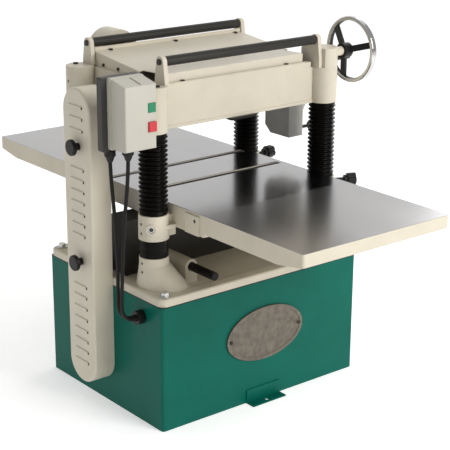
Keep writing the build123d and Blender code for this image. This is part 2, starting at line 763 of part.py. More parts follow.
with BuildPart() as belt_guard_cover:
    shell = [(guard_y, guard_low, guard_radius), (guard_y, guard_high, guard_radius)]
    side_hull(shell, (guard_outer, -guard_inner - 0.5))
    fillet(belt_guard_cover.faces().sort_by(Axis.X)[0].edges(), 6)
    inner = [(y, z, radius - guard_sheet) for y, z, radius in shell]
    side_hull(inner, (guard_outer + guard_sheet, -guard_inner), Mode.SUBTRACT)
    for z in vents:
        hood = [(guard_outer + 1, z + 5), (guard_outer - 3, z + 2), (guard_outer - 3, z - 4), (guard_outer + 1, z - 4)]
        slot = [(guard_outer + 4, z + 3), (guard_outer - 2, z + 1), (guard_outer - 2, z - 5), (guard_outer + 4, z - 5)]
        for outline, reach, mode in ((hood, 30.0, Mode.ADD), (slot, 28.0, Mode.SUBTRACT)):
            with BuildSketch(front_plane(guard_y + reach)) as louvre:
                Polygon(*outline, align=None)
            extrude(louvre.sketch, 2 * reach if mode == Mode.ADD else 2 * reach + 4, mode=mode)
    for z in knob_z.values():
        bar_x((guard_outer - 1, guard_outer + 4), knob_y, z, stud_radius + slide_gap, Mode.SUBTRACT)
save(belt_guard_cover.part, "belt_guard_cover")

for name, z in knob_z.items():
    with BuildPart() as guard_knob:
        bar_x((guard_outer - 18, guard_outer - slide_gap), knob_y, z, 10)
        bar_x((guard_outer - 28, guard_outer - 18), knob_y, z, 22)
        fillet(guard_knob.edges().filter_by(GeomType.CIRCLE).group_by(Axis.X)[0], 3)
        bar_x((guard_outer - 1, guard_outer + 26), knob_y, z, stud_radius)
    save(guard_knob.part, f"guard_knob_{name}")

# ---- feed rollers, chain and gearbox -------------------------------------
feed_sprocket = 15.0
feed_sprocket_x = (324.0, 331.0)
output_y = -10.0
output_z = 740.0
output_sprocket = 18.0
for y, name in ((infeed_y, "infeed_roller"), (outfeed_y, "outfeed_roller")):
    with BuildPart() as roller:
        bar_x((-feed_roller_length / 2, feed_roller_length / 2), y, feed_z, feed_roller_radius)
        bar_x((-wall_outer, feed_sprocket_x[1] + 3), y, feed_z, feed_journal)
        bar_x(feed_sprocket_x, y, feed_z, feed_sprocket)
        if name == "infeed_roller":
            with Locations(Plane(origin=(0, y, feed_z), z_dir=(1, 0, 0))):
                with PolarLocations(feed_roller_radius + 0.8, 30):
                    Cylinder(1.8, feed_roller_length + 2, mode=Mode.SUBTRACT)
    save(roller.part, name)

with BuildPart() as gearbox_output:
    bar_x((285, feed_sprocket_x[1] + 3), output_y, output_z, 9)
    bar_x(feed_sprocket_x, output_y, output_z, output_sprocket)
save(gearbox_output.part, "gearbox_output")

chain_axes = [
    (infeed_y, feed_z, feed_sprocket),
    (outfeed_y, feed_z, feed_sprocket),
    (output_y, output_z, output_sprocket),
]
with BuildPart() as feed_chain:
    side_hull([(y, z, radius + chain_gap + 4) for y, z, radius in chain_axes], feed_sprocket_x)
    wide = (feed_sprocket_x[0] - 1, feed_sprocket_x[1] + 1)
    side_hull([(y, z, radius + chain_gap) for y, z, radius in chain_axes], wide, Mode.SUBTRACT)
save(feed_chain.part, "feed_chain")

gearbox_x = (264.0, 318.0)
gearbox_low = 678.0
gearbox_front = -66.0
gearbox_rear = 40.0
gearbox_wall = 6.0
shift_y = -46.0
shift_z = 697.0
with BuildPart() as gearbox:
    outline = [
        (gearbox_front, head_bottom),
        (gearbox_front, gearbox_low),
        (gearbox_rear - 24, gearbox_low),
        (gearbox_rear, gearbox_low + 22),
        (gearbox_rear, head_bottom),
    ]
    side_profile(outline, gearbox_x)
    block(
        (gearbox_x[0] + gearbox_wall, gearbox_x[1] - gearbox_wall),
        (gearbox_front + gearbox_wall, gearbox_rear - gearbox_wall),
        (gearbox_low + 26, head_bottom - gearbox_wall),
        Mode.SUBTRACT,
    )
    bar_x((gearbox_x[0] + 10, gearbox_x[1] + 1), output_y, output_z, 9 + running, Mode.SUBTRACT)
    bar_x((gearbox_x[0] + 10, gearbox_x[1] + 1), shift_y, shift_z, 5 + running, Mode.SUBTRACT)

cover_outer = feed_sprocket_x[1] + 11
with BuildPart() as gearbox_cover:
    skin = [(y, z, radius + 7.5) for y, z, radius in chain_axes]
    side_hull(skin, (gearbox_x[1], cover_outer))
    side_hull(skin[:2], (wall_outer, gearbox_x[1]))
    cavity = [(y, z, radius + 5.5) for y, z, radius in chain_axes]
    side_hull(cavity, (gearbox_x[1] - 1, cover_outer - thin_sheet), Mode.SUBTRACT)
    side_hull(cavity[:2], (wall_outer - 1, gearbox_x[1]), Mode.SUBTRACT)
save(Compound([gearbox.part, gearbox_cover.part]), "gearbox")

with BuildPart() as feed_speed_knob:
    bar_x((gearbox_x[0] + 26, 362), shift_y, shift_z, 5)
    with Locations((370, shift_y, shift_z)):
        Sphere(14)
save(feed_speed_knob.part, "feed_speed_knob")

# ---- chipbreaker, pressure bar, kickback fingers, depth limiter ----------
with BuildPart() as pressure_bars:
    shoe = [(-29, cut_plane + 1.5), (-24.5, cut_plane + 0.5), (-24.5, 872), (-50, 886), (-50, 882), (-29, 870)]
    side_profile(shoe, (-wall_inner, wall_inner))
    shoe = [(62, 868), (62, cut_plane + 2), (64, cut_plane + 0.5), (70, cut_plane + 0.5), (72, 850)]
    side_profile(shoe + [(76, 850), (76, 868)], (-wall_inner, wall_inner))
save(pressure_bars.part, "pressure_bars")

finger_count = 26
finger_width = 11.0
finger_pitch = 19.0
finger_tip = 800.0
with BuildPart() as anti_kickback_fingers:
    for index in range(finger_count):
        x = (index - (finger_count - 1) / 2) * finger_pitch
        span = (x - finger_width / 2, x + finger_width / 2)
        leg = [
            (finger_y - 9, finger_z),
            (finger_y - 2, finger_tip + 6),
            (finger_y + 6, finger_tip),
            (finger_y + 16, finger_tip + 8),
            (finger_y + 12, finger_z),
        ]
        side_profile(leg, span)
        bar_x(span, finger_y, finger_z, 12)
    rod_end = wall_inner + 8.5
    bar_x((-rod_end, rod_end), finger_y, finger_z, finger_rod + seat, Mode.SUBTRACT)
    bar_x((-rod_end, rod_end), finger_y, finger_z, finger_rod)
save(anti_kickback_fingers.part, "anti_kickback_fingers")

with BuildPart() as depth_limiter:
    block((-45, 45), (-beam_outer - 14, -beam_outer + beam_thickness), (head_bottom - 6, head_bottom))
    chamfer(depth_limiter.edges().filter_by(Axis.Z), 5)
save(depth_limiter.part, "depth_limiter")

# ---- top covers, dust hood and return rollers ----------------------------
cover_left = -250.0
cover_right = 230.0
cover_face = -beam_outer + 13
cover_bend = 945.0
with BuildPart() as infeed_cover:
    face = (cover_face, cover_face + thin_sheet)
    side_profile(
        [
            (-beam_outer + 1, head_top),
            (-beam_outer + 1, head_top + thin_sheet),
            (face[0], head_top + thin_sheet),
            (face[0], cover_bend),
            (hood_front_y - 2, hood_front_z + 3),
            (hood_front_y - 2, hood_front_z + 1),
            (face[1], cover_bend - thin_sheet),
            (face[1], head_top),
        ],
        (cover_left, cover_right),
    )
save(infeed_cover.part, "infeed_cover")

duct_half = 56.0
with BuildPart() as dust_hood:
    wedge = [
        (hood_front_y, head_top),
        (hood_front_y, hood_front_z),
        (hood_rear_y, hood_rear_z),
        (hood_rear_y, head_top),
    ]
    side_profile(wedge, (-hood_half, hood_half))
    duct_x = (port_x - duct_half, port_x + duct_half)
    block(duct_x, (hood_rear_y - 1, port_start_y), (head_top, hood_rear_z))
    bar_y(port_x, (port_start_y, port_start_y + port_length), port_z, port_radius)
    hollow = [
        (hood_front_y - 1, head_top - 1),
        (hood_front_y - 1, hood_front_z - thin_sheet),
        (hood_rear_y - thin_sheet, hood_rear_z - thin_sheet),
        (hood_rear_y - thin_sheet, head_top - 1),
    ]
    side_profile(hollow, (-hood_half + thin_sheet, hood_half - thin_sheet), Mode.SUBTRACT)
    inner_duct = (duct_x[0] + thin_sheet, duct_x[1] - thin_sheet)
    duct_z = (head_top + thin_sheet, hood_rear_z - 2 * thin_sheet)
    block(inner_duct, (hood_rear_y - 5, port_start_y + 5), duct_z, Mode.SUBTRACT)
    tube = (port_start_y + thin_sheet, port_start_y + port_length + 1)
    bar_y(port_x, tube, port_z, port_radius - thin_sheet, Mode.SUBTRACT)
save(dust_hood.part, "dust_hood")

ear_radius = 15.0
axle_radius = 5.0
cap_top = head_collar_top + cap_height
with BuildPart() as roller_brackets:
    for x, y in corners:
        geared = (x, y) == (column_x, -column_y)
        inner = x / abs(x) * bracket_inner
        span = sorted((inner, inner + x / abs(x) * bracket_thickness))
        foot = head_collar_top if geared else cap_top
        half = 22.0
        back = y + 53 if geared else y + half
        shoulder = housing_top - 5 if geared else cap_top + 6
        side_profile(
            [
                (y - half, foot),
                (back, foot),
                (back, shoulder),
                (y + ear_radius, roller_z),
                (y - ear_radius, roller_z),
                (y - half, cap_top + 6),
            ],
            span,
        )
        bar_x(span, y, roller_z, ear_radius)
        bar_x((span[0] - 1, span[1] + 1), y, roller_z, axle_radius + seat, Mode.SUBTRACT)
save(roller_brackets.part, "roller_brackets")

roller_half = bracket_inner - 0.5
for y, name in ((-column_y, "return_roller_front"), (column_y, "return_roller_rear")):
    with BuildPart() as return_roller:
        bar_x((-roller_half, roller_half), y, roller_z, return_roller_radius)
        chamfer(return_roller.edges().filter_by(GeomType.CIRCLE), 1)
        for side in (-1, 1):
            end = sorted((side * (roller_half - 26), side * (roller_half + 1)))
            bar_x(end, y, roller_z, axle_radius + running, Mode.SUBTRACT)
    save(return_roller.part, name)

# ---- handwheel ------------------------------------------------------------
spoke_angles = (44.0, 164.0, 288.0)
hub_x = 343.0
rim_width = 18.0
rim_depth = 12.0
grip_angle = 335.0
grip_radius = 10.0
grip_length = 60.0
rim_middle = wheel_radius - rim_depth / 2
rim_right = wheel_plane + rim_width
grip_y = wheel_y + rim_middle * cos(radians(grip_angle))
grip_z = wheel_z + rim_middle * sin(radians(grip_angle))
with BuildPart() as handwheel:
    bar_x((wheel_plane, rim_right), wheel_y, wheel_z, wheel_radius)
    bar_x((wheel_plane - 1, rim_right + 1), wheel_y, wheel_z, wheel_radius - rim_depth, Mode.SUBTRACT)
    fillet(handwheel.edges().filter_by(GeomType.CIRCLE), 4)
    bar_x((hub_x, hub_x + 26), wheel_y, wheel_z, 21)
    for angle in spoke_angles:
        out = (cos(radians(angle)), sin(radians(angle)))
        reach = wheel_radius - rim_depth / 2
        hub = Vector(hub_x + 14, wheel_y + 12 * out[0], wheel_z + 12 * out[1])
        rim = Vector(wheel_plane + 8, wheel_y + reach * out[0], wheel_z + reach * out[1])
        way = rim - hub
        with Locations(Plane(origin=hub, x_dir=(0, -out[1], out[0]), z_dir=way)):
            Box(18, 8, way.length, align=above)
    bar_x((288, hub_x + 27), wheel_y, wheel_z, shaft_radius - 2)
    bar_x((310, hub_x + 26), wheel_y, wheel_z, shaft_radius)
    bar_x((290, 308), wheel_y, wheel_z, 9)
    bar_x((rim_right - 8, rim_right + 3), grip_y, grip_z, 8)
    bar_x((rim_right, rim_right + grip_length + 2), grip_y, grip_z, 4)
    bar_x((rim_right + grip_length + 0.3, rim_right + grip_length + 4), grip_y, grip_z, 6)
save(handwheel.part, "handwheel")

with BuildPart() as handwheel_grip:
    bar_x((rim_right + 3.3, rim_right + grip_length), grip_y, grip_z, grip_radius)
    fillet(handwheel_grip.edges().filter_by(GeomType.CIRCLE), 3)
    bar_x((rim_right, rim_right + grip_length + 1), grip_y, grip_z, 4 + running, Mode.SUBTRACT)
save(handwheel_grip.part, "handwheel_grip")

# ---- switch box -----------------------------------------------------------
pan_left = left_face - 111.0
pan_right = left_face + 10.0
pan_back = -158.0
pan_low = 775.0
pan_high = 965.0
button_x = (left_face - 21.0, left_face + 2.0)
start_z = (879.0, 903.0)
stop_z = (830.0, 855.0)
bracket_y = (-126.0, -118.0)
glands = {"right": (left_face - 59, -215.0, box_bottom), "left": (left_face - 82, -168.0, pan_low)}
box_wall = 3.0
box_rise = 12.0
rim_front = box_back - 14.0
slot_width = 8.0
slot_depth = 2.0

with BuildPart() as switch_pan:
    block((pan_left, pan_right), (box_back, pan_back), (pan_low, pan_high))
    fillet(switch_pan.edges().filter_by(Axis.Y), 5)
    block(
        (pan_left + thin_sheet, pan_right - thin_sheet),
        (box_back + thin_sheet, pan_back - thin_sheet),
        (pan_low + thin_sheet, pan_high - thin_sheet),
        Mode.SUBTRACT,
    )
    block((left_face - 50, left_face - 42), (pan_back - 1, bracket_y[1]), (850, 910))
    block((left_face - 50, -wall_outer), bracket_y, (850, 910))
    bar_z(*glands["left"][:2], (pan_low - 1, pan_low + 3), 8, Mode.SUBTRACT)
save(switch_pan.part, "switch_pan")

with BuildPart() as switch_box:
    block((box_left - 4, box_right + 4), (rim_front, box_back), (box_bottom - 4, box_top + box_rise + 2))
    fillet(switch_box.edges().filter_by(Axis.Y), 5)
    outline = [
        (box_front, box_bottom),
        (box_front, box_top),
        (rim_front, box_top + box_rise),
        (rim_front, box_bottom),
    ]
    side_profile(outline, (box_left, box_right))
    fillet(switch_box.faces().sort_by(Axis.Y)[0].edges(), 4)
    hollow = [
        (box_front + box_wall, box_bottom + box_wall),
        (box_front + box_wall, box_top - box_wall),
        (rim_front, box_top + box_rise - box_wall),
        (box_back + 1, box_top + box_rise - box_wall),
        (box_back + 1, box_bottom + box_wall),
    ]
    side_profile(hollow, (box_left + box_wall, box_right - box_wall), Mode.SUBTRACT)
    for z in (start_z, stop_z):
        hole_x = (button_x[0] - slide_gap, button_x[1] + slide_gap)
        hole_z = (z[0] - slide_gap, z[1] + slide_gap)
        block(hole_x, (box_front - 1, box_front + box_wall + 1), hole_z, Mode.SUBTRACT)
    bar_z(*glands["right"][:2], (box_bottom - 1, box_bottom + 4), 8, Mode.SUBTRACT)
    slot_y = (box_front + 6, rim_front - 3)
    slot_z = [box_top + box_rise * (y - box_front) / (rim_front - box_front) for y in slot_y]
    groove = [
        (slot_y[0], slot_z[0] - slot_depth),
        (slot_y[0], slot_z[0] + box_rise),
        (slot_y[1], slot_z[1] + box_rise),
        (slot_y[1], slot_z[1] - slot_depth),
    ]
    slot_middle = (box_left + box_right) / 2 + 3
    side_profile(groove, (slot_middle - slot_width / 2, slot_middle + slot_width / 2), Mode.SUBTRACT)
save(switch_box.part, "switch_box")

for name, z, proud in (("start_button", start_z, 2.0), ("stop_button", stop_z, 6.0)):
    with BuildPart() as button:
        block(button_x, (box_front - proud, box_front + 9), z)
        fillet(button.faces().sort_by(Axis.Y)[0].edges(), 1.2)
        middle = ((button_x[0] + button_x[1]) / 2, (z[0] + z[1]) / 2)
        bar_y(middle[0], (box_front + 9, box_front + 22), middle[1], 4)
    save(button.part, name)

lead_hole = lead_radius + slide_gap
sleeve_end = left_face - 30.0
lead_y = {"motor": gland_y - 7, "control": gland_y + 7}
with BuildPart() as cable_glands:
    for x, y, z in glands.values():
        bar_z(x, y, (z - 14, z), 15)
        along((0, 0, -1), (x, y, z - 14), 13, 16, top_radius=7)
        bar_z(x, y, (z - 31, z + 1), lead_hole, Mode.SUBTRACT)
    bar_x((-half_width - 22, -half_width), gland_y, gland_z, 19)
    for y in lead_y.values():
        bar_x((sleeve_end, -half_width), y, gland_z, 6.8)
        bar_x((sleeve_end - 1, -half_width + 1), y, gland_z, lead_hole, Mode.SUBTRACT)
save(cable_glands.part, "cable_glands")

# ---- leads from the switch to the cabinet, X from the cabinet's left face -
routes = {
    "motor_lead": [
        (-59, -215, 757),
        (-59.5, -214, 712),
        (-62, -206, 640),
        (-66, -200.5, 560),
        (-69, -197, 480),
        (-71.5, -195, 400),
        (-71.6, -192.6, 368),
        (-70.5, -191, 341),
        (-59, -190, 320),
        (-38, -190, 308),
        (-11, -190, 308),
    ],
    "control_lead": [
        (-82, -168, 747),
        (-81, -169, 705),
        (-77.5, -173, 632),
        (-74, -177, 556),
        (-71.5, -178.5, 478),
        (-72.5, -178, 400),
        (-72, -176.9, 368),
        (-70.5, -176.2, 341),
        (-59, -176, 320),
        (-38, -176, 308),
        (-11, -176, 308),
    ],
}


def bend_radii(points):
    """The largest arc that each corner's two runs leave room for."""
    radii = []
    for before, corner, after in zip(points, points[1:], points[2:]):
        a = Vector(*corner) - Vector(*before)
        b = Vector(*after) - Vector(*corner)
        turn = radians(a.get_angle(b))
        radii.append(0.45 * min(a.length, b.length) / tan(turn / 2))
    return radii


for name, offsets in routes.items():
    points = [(left_face + x, y, z) for x, y, z in offsets]
    radii = bend_radii(points)
    print(name, "bend radii", [round(radius) for radius in radii])
    with BuildPart() as lead:
        with BuildLine() as route:
            FilletPolyline(*points, radius=radii)
        with BuildSketch(Plane(origin=route.wires()[0] @ 0, z_dir=route.wires()[0] % 0)):
            Circle(lead_radius)
        sweep()
    length = sum(edge.length for edge in route.edges())
    ratio = lead.part.volume / (pi * lead_radius**2 * length)
    print(name, "length", round(length), "volume ratio", round(ratio, 4))
    save(lead.part, name)

# ---- fixings in the fixed frame ------------------------------------------
hood_slope = (hood_rear_z - hood_front_z) / (hood_rear_y - hood_front_y)
slope_normal = (0, -sin(hood_slope), cos(hood_slope))
head_screw = 5.5
with BuildPart() as fixing_screws:
    for x in (-210.0, 14.0, 235.0):
        y = hood_rear_y - 12
        z = hood_front_z + (y - hood_front_y) * hood_slope
        along(slope_normal, (x, y, z + 0.05), head_screw, 3.5)
    for x in (-195.0, 165.0):
        bar_z(x, -beam_outer + 6.5, (head_top + thin_sheet, head_top + thin_sheet + 3), head_screw)
    for y in (-30.0, 40.0, 110.0):
        for side in (-1, 1):
            along((side, 0, 0), (side * hood_half, y, head_top + 8), 4.5, 3)
    for side in (-1, 1):
        for z in (panel_low + 8, panel_high - 8):
            y = half_depth + thin_sheet
            bar_y(side * (panel_half - 8), (y, y + 3), z, head_screw)
        x = plate_x + side * (plate_long - 13)
        y = -half_depth - plate_thickness
        bar_y(x, (y - 2.5, y), plate_z, 5)
        bar_y(x, (y, y + 5), plate_z, 3)
    for x, y in corners:
        out = x / abs(x)
        far = out * (bracket_inner + bracket_thickness)
        near = out * (roller_half - 22)
        bar_x(sorted((near, far)), y, roller_z, axle_radius)
        if (x, y) != (column_x, -column_y):
            bar_x(sorted((far, far + out * 4)), y, roller_z, 8)
        for z in (830.0, 884.0, 426.0, 450.0):
            start = (x + out * (column_radius + 2.2), y, z)
            along((out, 0, 0), start, 4, 6.5)
    for sx in (-1, 1):
        for sy in (-1, 1):
            x = sx * bolt_pad_x
            y = sy * bolt_pad_y
            bar_z(x, y, (cabinet_height - 8, base_top), bolt_radius)
            bar_z(x, y, (base_top, base_top + 2.5), 15)
            with BuildSketch(Plane.XY.offset(base_top + 2.5)) as hexagon:
                with Locations((x, y)):
                    RegularPolygon(11, 6)
            extrude(hexagon.sketch, 9)
    for x, y in cap_corners:
        bar_z(x, y + 22 * y / abs(y), (head_collar_top + 10, cap_top + 1), 5.4)
        bar_z(x, y + 22 * y / abs(y), (cap_top, cap_top + 4), 7)
save(fixing_screws.part, "fixing_screws")
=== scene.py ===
"""Looks for the thickness planer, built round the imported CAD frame. Metres, Z up."""

import math

import bmesh
import bpy
from mathutils import Matrix, Vector


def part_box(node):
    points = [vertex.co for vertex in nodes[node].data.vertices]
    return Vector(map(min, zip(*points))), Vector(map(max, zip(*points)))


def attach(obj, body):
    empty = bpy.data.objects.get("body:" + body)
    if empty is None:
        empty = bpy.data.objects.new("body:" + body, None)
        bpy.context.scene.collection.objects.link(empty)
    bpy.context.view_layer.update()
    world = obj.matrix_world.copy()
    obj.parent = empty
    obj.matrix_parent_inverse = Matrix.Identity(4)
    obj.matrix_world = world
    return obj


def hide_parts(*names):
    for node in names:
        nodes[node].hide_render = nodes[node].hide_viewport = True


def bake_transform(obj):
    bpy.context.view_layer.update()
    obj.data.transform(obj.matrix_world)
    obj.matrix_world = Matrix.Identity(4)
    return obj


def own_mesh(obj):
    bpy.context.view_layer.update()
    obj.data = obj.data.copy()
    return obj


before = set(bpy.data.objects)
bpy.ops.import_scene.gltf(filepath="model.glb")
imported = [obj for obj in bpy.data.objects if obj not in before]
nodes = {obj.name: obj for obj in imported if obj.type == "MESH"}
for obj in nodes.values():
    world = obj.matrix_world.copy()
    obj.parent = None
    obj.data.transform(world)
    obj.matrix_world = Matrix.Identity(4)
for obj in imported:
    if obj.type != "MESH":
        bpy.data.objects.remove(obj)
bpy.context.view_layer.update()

# sizes that follow part.py
post_x, post_y = 0.298, 0.168  # the four columns' axes lie this far from the origin
wheel_y, wheel_z = -0.193, 0.945  # the handwheel's axis
rim_inner_radius = 0.0822  # the handwheel is chromed outside this
lead_radius = 0.005


# ---- materials -----------------------------------------------------------
def ramp(nt, fac, low, high, dark, light):
    """A colour ramp from dark at low to light at high, read at fac."""
    node = nt.nodes.new("ShaderNodeValToRGB")
    node.color_ramp.elements[0].position = low
    node.color_ramp.elements[0].color = (*dark, 1)
    node.color_ramp.elements[1].position = high
    node.color_ramp.elements[1].color = (*light, 1)
    nt.links.new(fac, node.inputs["Fac"])
    return node.outputs["Color"]


def noise(nt, vector, scale, detail=4.0, rough=0.55):
    """Fractal noise from 0 to 1, read at vector."""
    node = nt.nodes.new("ShaderNodeTexNoise")
    node.inputs["Scale"].default_value = scale
    node.inputs["Detail"].default_value = detail
    node.inputs["Roughness"].default_value = rough
    nt.links.new(vector, node.inputs["Vector"])
    return node.outputs["Fac"]


def place(nt, stretch=(1, 1, 1)):
    """Object coordinates, each axis multiplied by its share of stretch."""
    coords = nt.nodes.new("ShaderNodeTexCoord")
    mapping = nt.nodes.new("ShaderNodeMapping")
    mapping.inputs["Scale"].default_value = stretch
    nt.links.new(coords.outputs["Object"], mapping.inputs["Vector"])
    return mapping.outputs["Vector"]


def mix(nt, fac, a, b, blend="MIX"):
    """Two colours mixed by fac; each of the three is a socket or a plain value."""
    node = nt.nodes.new("ShaderNodeMix")
    node.data_type = "RGBA"
    node.blend_type = blend
    for socket, value in (("Factor", fac), ("A", a), ("B", b)):
        target = [s for s in node.inputs if s.name == socket and s.enabled][0]
        if hasattr(value, "links"):
            nt.links.new(value, target)
        elif socket == "Factor":
            target.default_value = value
        else:
            target.default_value = (*value, 1)
    return [s for s in node.outputs if s.enabled][0]


def maths(nt, operation, a, b=0.0):
    """A Math node; a and b are sockets or numbers."""
    node = nt.nodes.new("ShaderNodeMath")
    node.operation = operation
    for socket, value in ((node.inputs[0], a), (node.inputs[1], b)):
        if hasattr(value, "links"):
            nt.links.new(value, socket)
        else:
            socket.default_value = value
    return node.outputs[0]


def shade(colour, amount):
    """A colour made lighter or darker by a factor."""
    return tuple(min(1.0, c * amount) for c in colour)


def finish(
    name,
    colour,
    rough=0.5,
    metal=0.0,
    vary=0.10,
    patch=9.0,
    grain=700.0,
    bump=0.15,
    depth=0.0004,
    stretch=(1, 1, 1),
    coat=0.0,
    spread=0.10,
    edge=0.0,
    edge_width=0.0012,
    specular=0.5,
):
    """A procedural material: patchy colour, uneven gloss, surface grain and painted edge
    highlights.

    vary is the colour's swing and spread the roughness's; patch and grain are the scales of
    the broad and fine noise; bump and depth are the grain's relief; edge is how much lighter
    the painted highlight makes the edges, over edge_width.
    """
    m = bpy.data.materials.new(name)
    m.use_nodes = True
    nt = m.node_tree
    shader = nt.nodes["Principled BSDF"]
    where = place(nt, stretch)
    broad = noise(nt, where, patch, 5)
    fine = noise(nt, where, grain, 3)
    base = ramp(nt, broad, 0.3, 0.7, shade(colour, 1 - vary), shade(colour, 1 + vary))
    speck = ramp(nt, fine, 0.25, 0.8, (1 - vary * 0.9,) * 3, (1, 1, 1))
    colours = mix(nt, 1.0, base, speck, "MULTIPLY")
    # painted highlight: the colour is made lighter along the edges, where light would catch them
    if edge:
        round_edge = nt.nodes.new("ShaderNodeBevel")
        round_edge.samples = 4
        round_edge.inputs["Radius"].default_value = edge_width
        geometry = nt.nodes.new("ShaderNodeNewGeometry")
        turn = nt.nodes.new("ShaderNodeVectorMath")
        turn.operation = "DOT_PRODUCT"
        nt.links.new(round_edge.outputs["Normal"], turn.inputs[0])
        nt.links.new(geometry.outputs["Normal"], turn.inputs[1])
        # the rounded and the true normal agree, to 0.995 or more, away from edges
        edge_highlight_mask = ramp(nt, turn.outputs["Value"], 0.80, 0.995, (1, 1, 1), (0, 0, 0))
        # the painted edge highlight, mixed over the base colour
        colours = mix(nt, edge_highlight_mask, colours, shade(colour, 1 + edge))
    nt.links.new(colours, shader.inputs["Base Color"])
    gloss = nt.nodes.new("ShaderNodeMapRange")
    gloss.inputs["To Min"].default_value = max(0.03, rough - spread)
    gloss.inputs["To Max"].default_value = min(1.0, rough + spread)
    nt.links.new(broad, gloss.inputs["Value"])
    nt.links.new(gloss.outputs["Result"], shader.inputs["Roughness"])
    shader.inputs["Metallic"].default_value = metal
    shader.inputs["Specular IOR Level"].default_value = specular
    shader.inputs["Coat Weight"].default_value = coat
    shader.inputs["Coat Roughness"].default_value = 0.12
    relief = nt.nodes.new("ShaderNodeBump")
    relief.inputs["Strength"].default_value = bump
    relief.inputs["Distance"].default_value = depth
    nt.links.new(fine, relief.inputs["Height"])
    if edge:
        nt.links.new(round_edge.outputs["Normal"], relief.inputs["Normal"])
    nt.links.new(relief.outputs["Normal"], shader.inputs["Normal"])
    return m


def two_tone(name, first, second, test):
    """One material that shows second where test(node_tree, x, y, z) is 1 and first elsewhere."""
    m = first.copy()
    m.name = name
    nt = m.node_tree
    a = nt.nodes["Principled BSDF"]
    out = [n for n in nt.nodes if n.type == "OUTPUT_MATERIAL"][0]
    other = second.node_tree
    twins = {}
    for old in other.nodes:
        if old.type == "OUTPUT_MATERIAL":
            continue
        new = nt.nodes.new(old.bl_idname)
        twins[old] = new
        for prop in ("blend_type", "data_type", "operation", "samples"):
            if hasattr(old, prop):
                setattr(new, prop, getattr(old, prop))
        if old.type == "VALTORGB":
            for x, y in zip(old.color_ramp.elements, new.color_ramp.elements):
                y.position, y.color = x.position, x.color
        for x, y in zip(old.inputs, new.inputs):
            if hasattr(x, "default_value"):
                y.default_value = x.default_value
    for link in other.links:
        if link.to_node in twins and link.from_node in twins:
            source = list(link.from_node.outputs).index(link.from_socket)
            target = list(link.to_node.inputs).index(link.to_socket)
            nt.links.new(
                twins[link.from_node].outputs[source], twins[link.to_node].inputs[target]
            )
    b = [n for n in twins.values() if n.type == "BSDF_PRINCIPLED"][0]
    coords = nt.nodes.new("ShaderNodeTexCoord")
    split = nt.nodes.new("ShaderNodeSeparateXYZ")
    nt.links.new(coords.outputs["Object"], split.inputs[0])
    choose = nt.nodes.new("ShaderNodeMixShader")
    nt.links.new(test(nt, *split.outputs), choose.inputs[0])
    nt.links.new(a.outputs[0], choose.inputs[1])
    nt.links.new(b.outputs[0], choose.inputs[2])
    nt.links.new(choose.outputs[0], out.inputs[0])
    return m


def above(limit):
    """A test for two_tone: 1 above a height."""
    return lambda nt, x, y, z: maths(nt, "GREATER_THAN", z, limit)


def near_height(middle, reach):
    """A test for two_tone: 1 within reach of a height."""

    def test(nt, x, y, z):
        away = maths(nt, "ABSOLUTE", maths(nt, "SUBTRACT", z, middle))
        return maths(nt, "LESS_THAN", away, reach)

    return test


def on_rim(nt, x, y, z):
    """A test for two_tone: 1 on the handwheel's rim."""
    dy = maths(nt, "SUBTRACT", y, wheel_y)
    dz = maths(nt, "SUBTRACT", z, wheel_z)
    square = maths(nt, "ADD", maths(nt, "MULTIPLY", dy, dy), maths(nt, "MULTIPLY", dz, dz))
    return maths(nt, "GREATER_THAN", square, rim_inner_radius**2)


cream = finish(
    "cream_enamel", (0.62, 0.565, 0.455), rough=0.42, vary=0.04, grain=420, bump=0.10,
    coat=0.08, edge=0.12, specular=0.4,
)
cream_cast = finish(
    "cream_cast", (0.60, 0.545, 0.435), rough=0.48, vary=0.06, grain=260, bump=0.35,
    edge=0.15, edge_width=0.0022, specular=0.4,
)
green = finish(
    "green_enamel", (0.002, 0.112, 0.081), rough=0.34, vary=0.08, grain=500, bump=0.10,
    edge=0.5, specular=0.10,
)
grey = finish(
    "grey_hammered", (0.52, 0.50, 0.46), rough=0.42, vary=0.14, grain=180, bump=0.5,
    depth=0.0008, edge=0.25,
)
black_paint = finish(
    "black_enamel", (0.008, 0.007, 0.006), rough=0.40, vary=0.2, bump=0.15, edge=1.0,
    specular=0.15,
)
shield_paint = finish(
    "shield_enamel", (0.040, 0.036, 0.031), rough=0.5, vary=0.12, bump=0.2, edge=0.5,
    specular=0.3,
)
pan_paint = finish(
    "pan_enamel", (0.045, 0.042, 0.037), rough=0.5, vary=0.1, bump=0.2, edge=0.5,
    specular=0.35,
)
box_paint = finish(
    "box_moulding", (0.50, 0.48, 0.41), rough=0.5, vary=0.03, grain=900, bump=0.08, edge=0.10,
)
iron = finish(
    "ground_iron", (0.31, 0.305, 0.305), rough=0.17, metal=1.0, vary=0.10, patch=5, grain=900,
    bump=0.12, depth=0.0002, stretch=(1, 0.03, 1), spread=0.05, edge=0.7,
)
wing_iron = finish(
    "ground_wing", (0.335, 0.328, 0.325), rough=0.225, metal=0.95, vary=0.08, patch=4,
    grain=900, bump=0.15, depth=0.0002, stretch=(1, 0.03, 1), spread=0.06, edge=0.5,
)
roller_steel = finish(
    "roller_tube", (0.036, 0.034, 0.030), rough=0.45, metal=0.3, vary=0.12, grain=600,
    bump=0.12, edge=0.5, specular=0.18,
)
steel = finish(
    "turned_steel", (0.42, 0.42, 0.42), rough=0.3, metal=1.0, vary=0.08, grain=900,
    stretch=(1, 0.1, 0.1), edge=0.4,
)
zinc = finish(
    "zinc_plate", (0.62, 0.63, 0.62), rough=0.28, metal=1.0, vary=0.12, patch=60, bump=0.1,
    edge=0.3,
)
dark_steel = finish(
    "black_oxide", (0.030, 0.027, 0.024), rough=0.42, metal=0.6, vary=0.2, patch=40,
    bump=0.15, edge=0.8,
)
drive_iron = finish(
    "drive_iron", (0.14, 0.14, 0.14), rough=0.45, metal=0.9, vary=0.15, bump=0.25, edge=0.4,
)
